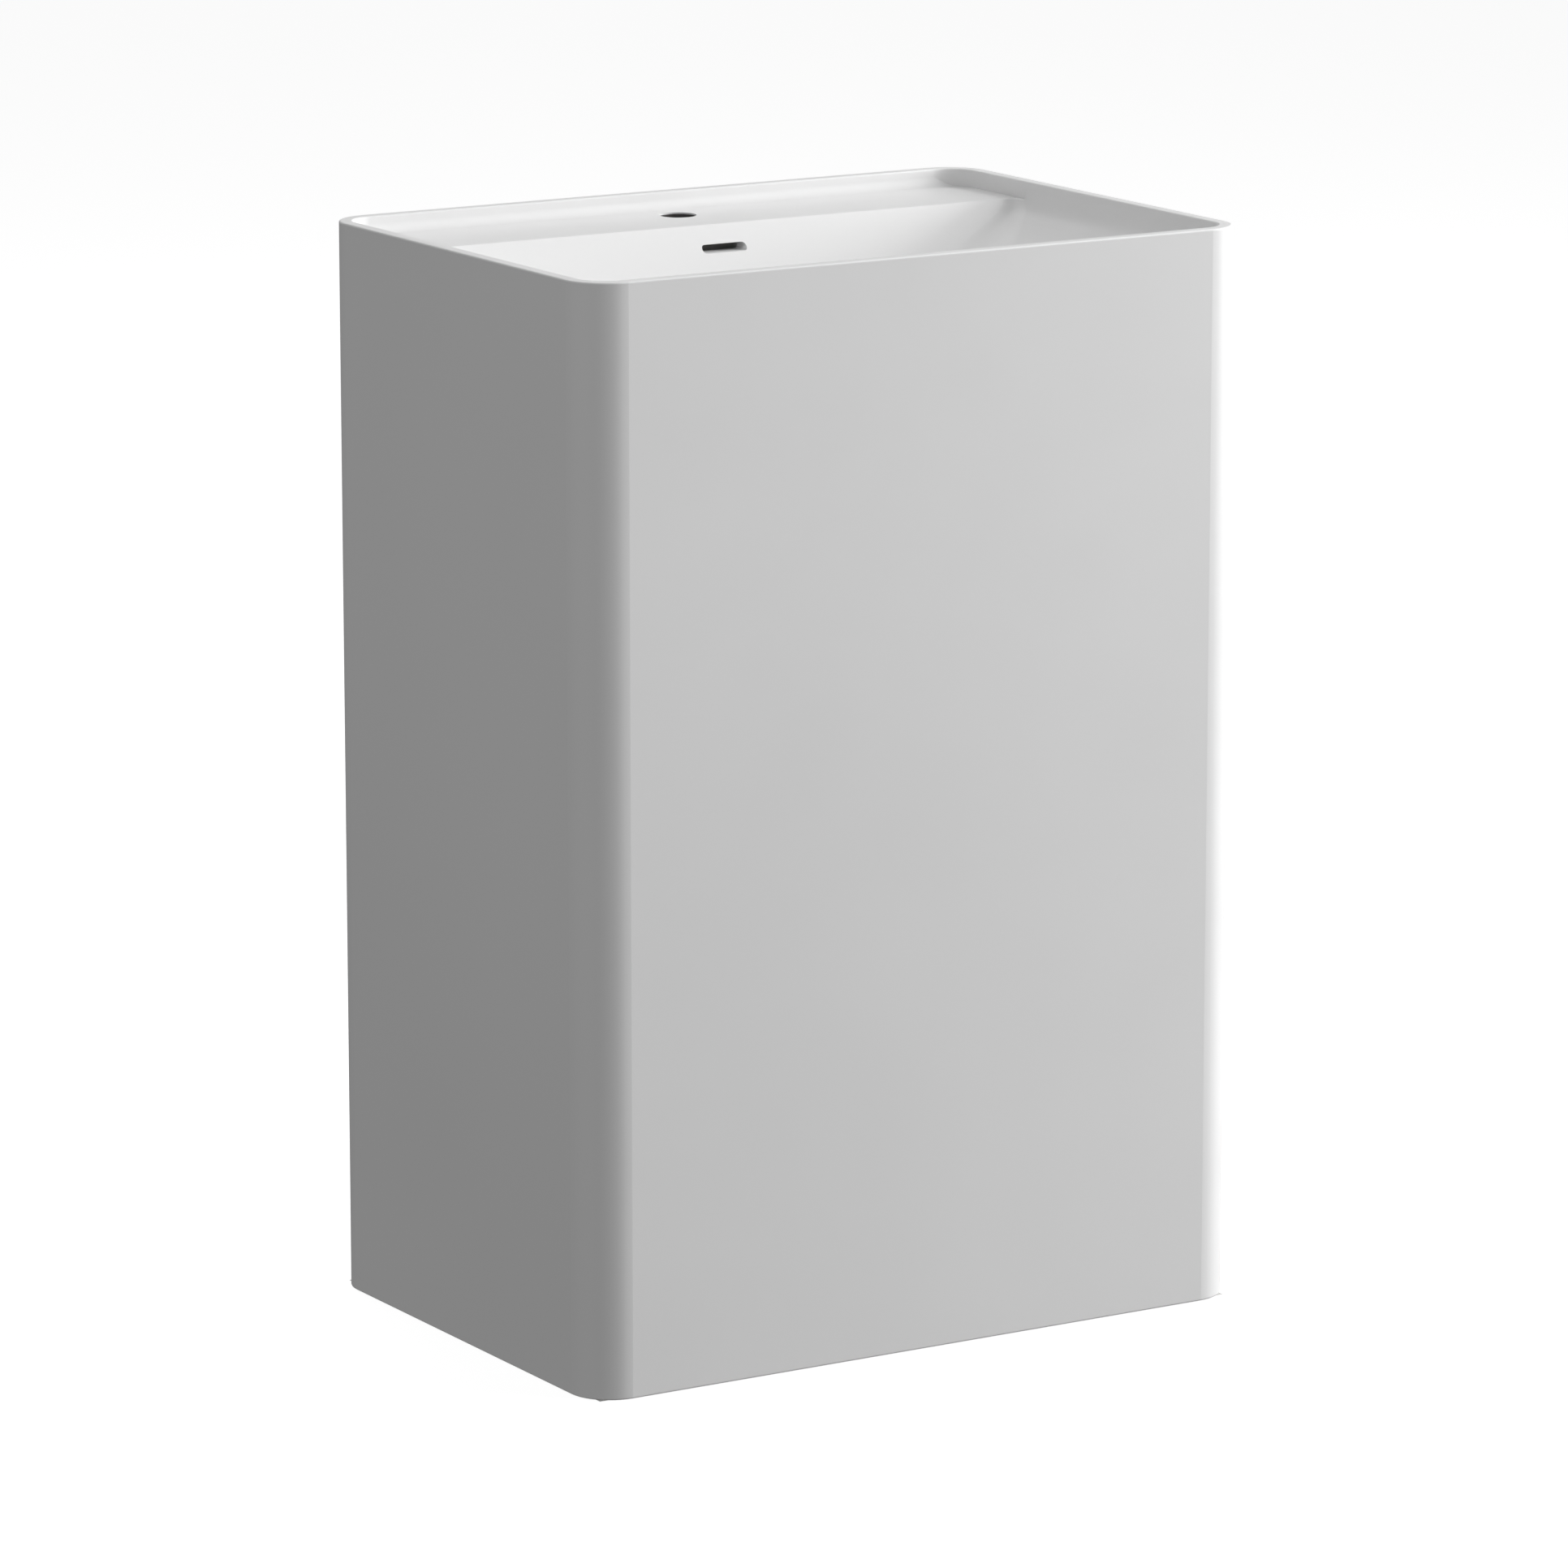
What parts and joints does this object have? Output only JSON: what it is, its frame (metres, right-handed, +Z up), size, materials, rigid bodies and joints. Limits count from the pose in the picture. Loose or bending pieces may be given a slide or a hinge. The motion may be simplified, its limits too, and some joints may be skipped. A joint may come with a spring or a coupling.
{
  "type": "pedestal sink",
  "caption": "Freestanding pedestal wash basin: a tall round-cornered column with a sloping rectangular bowl, tap ledge, overflow slot, pop-up drain and trap.",
  "frame": {"origin": "centre of the footprint on the floor", "axes": "+Z up, front faces -Y, the tap ledge and service opening are towards +Y, +X to the right seen from the front"},
  "size_m": [0.6, 0.418, 0.87],
  "materials": {
    "cast_stone": "matte, smooth",
    "chrome": "polished",
    "brass": "machined",
    "stainless": "brushed",
    "white_plastic": "satin moulded",
    "hose_plastic": "matte",
    "rubber": "matte"
  },
  "bodies": {
    "basin": {"pedestal_shell": "cast_stone", "basin_bowl": "cast_stone", "floor_bracket_left": "stainless", "floor_bracket_right": "stainless", "threaded_inserts": "brass", "bracket_bolts": "stainless", "bracket_washers": "stainless", "overflow_gasket": "rubber", "overflow_housing": "white_plastic", "overflow_hose": "hose_plastic", "hose_clips": "stainless", "drain_body": "chrome", "flange_gasket": "rubber", "lower_gasket": "rubber", "overflow_collar": "white_plastic", "collar_gasket": "rubber", "slip_washer": "white_plastic", "drain_lock_nut": "brass", "click_cartridge": "white_plastic", "click_spring": "stainless", "tailpiece": "chrome", "tailpiece_washer": "rubber", "tailpiece_nut": "brass"},
    "stopper": {"stopper_cap": "chrome", "stopper_seal": "rubber", "stopper_stem": "brass"},
    "trap": {"trap_bend": "white_plastic", "trap_inlet_washer": "rubber", "trap_inlet_nut": "white_plastic", "cleanout_seal": "rubber", "cleanout_plug": "white_plastic", "trap_union_washer": "rubber", "trap_union_nut": "white_plastic"},
    "elbow": {"trap_elbow": "white_plastic", "trap_outlet_washer": "rubber", "trap_outlet_nut": "white_plastic"},
    "wall_arm": {"trap_arm": "white_plastic"}
  },
  "joints": [
    {"name": "stopper_lift", "type": "slide", "parent": "basin", "child": "stopper", "axis": [0, 0, 1], "range_m": [0, 0.009], "deforming": ["click_spring"]},
    {"name": "trap_swivel", "type": "hinge", "parent": "basin", "child": "trap", "pos_m": [0, -0.053, 0.55], "axis": [0, 0, 1], "range_deg": [-15, 15]},
    {"name": "elbow_swivel", "type": "hinge", "parent": "trap", "child": "elbow", "pos_m": [0, 0.023, 0.53], "axis": [0, 0, 1], "range_deg": [-15, 15]},
    {"name": "arm_slide", "type": "slide", "parent": "elbow", "child": "wall_arm", "axis": [0, 1, 0], "range_m": [-0.005, 0.03]}
  ]
}
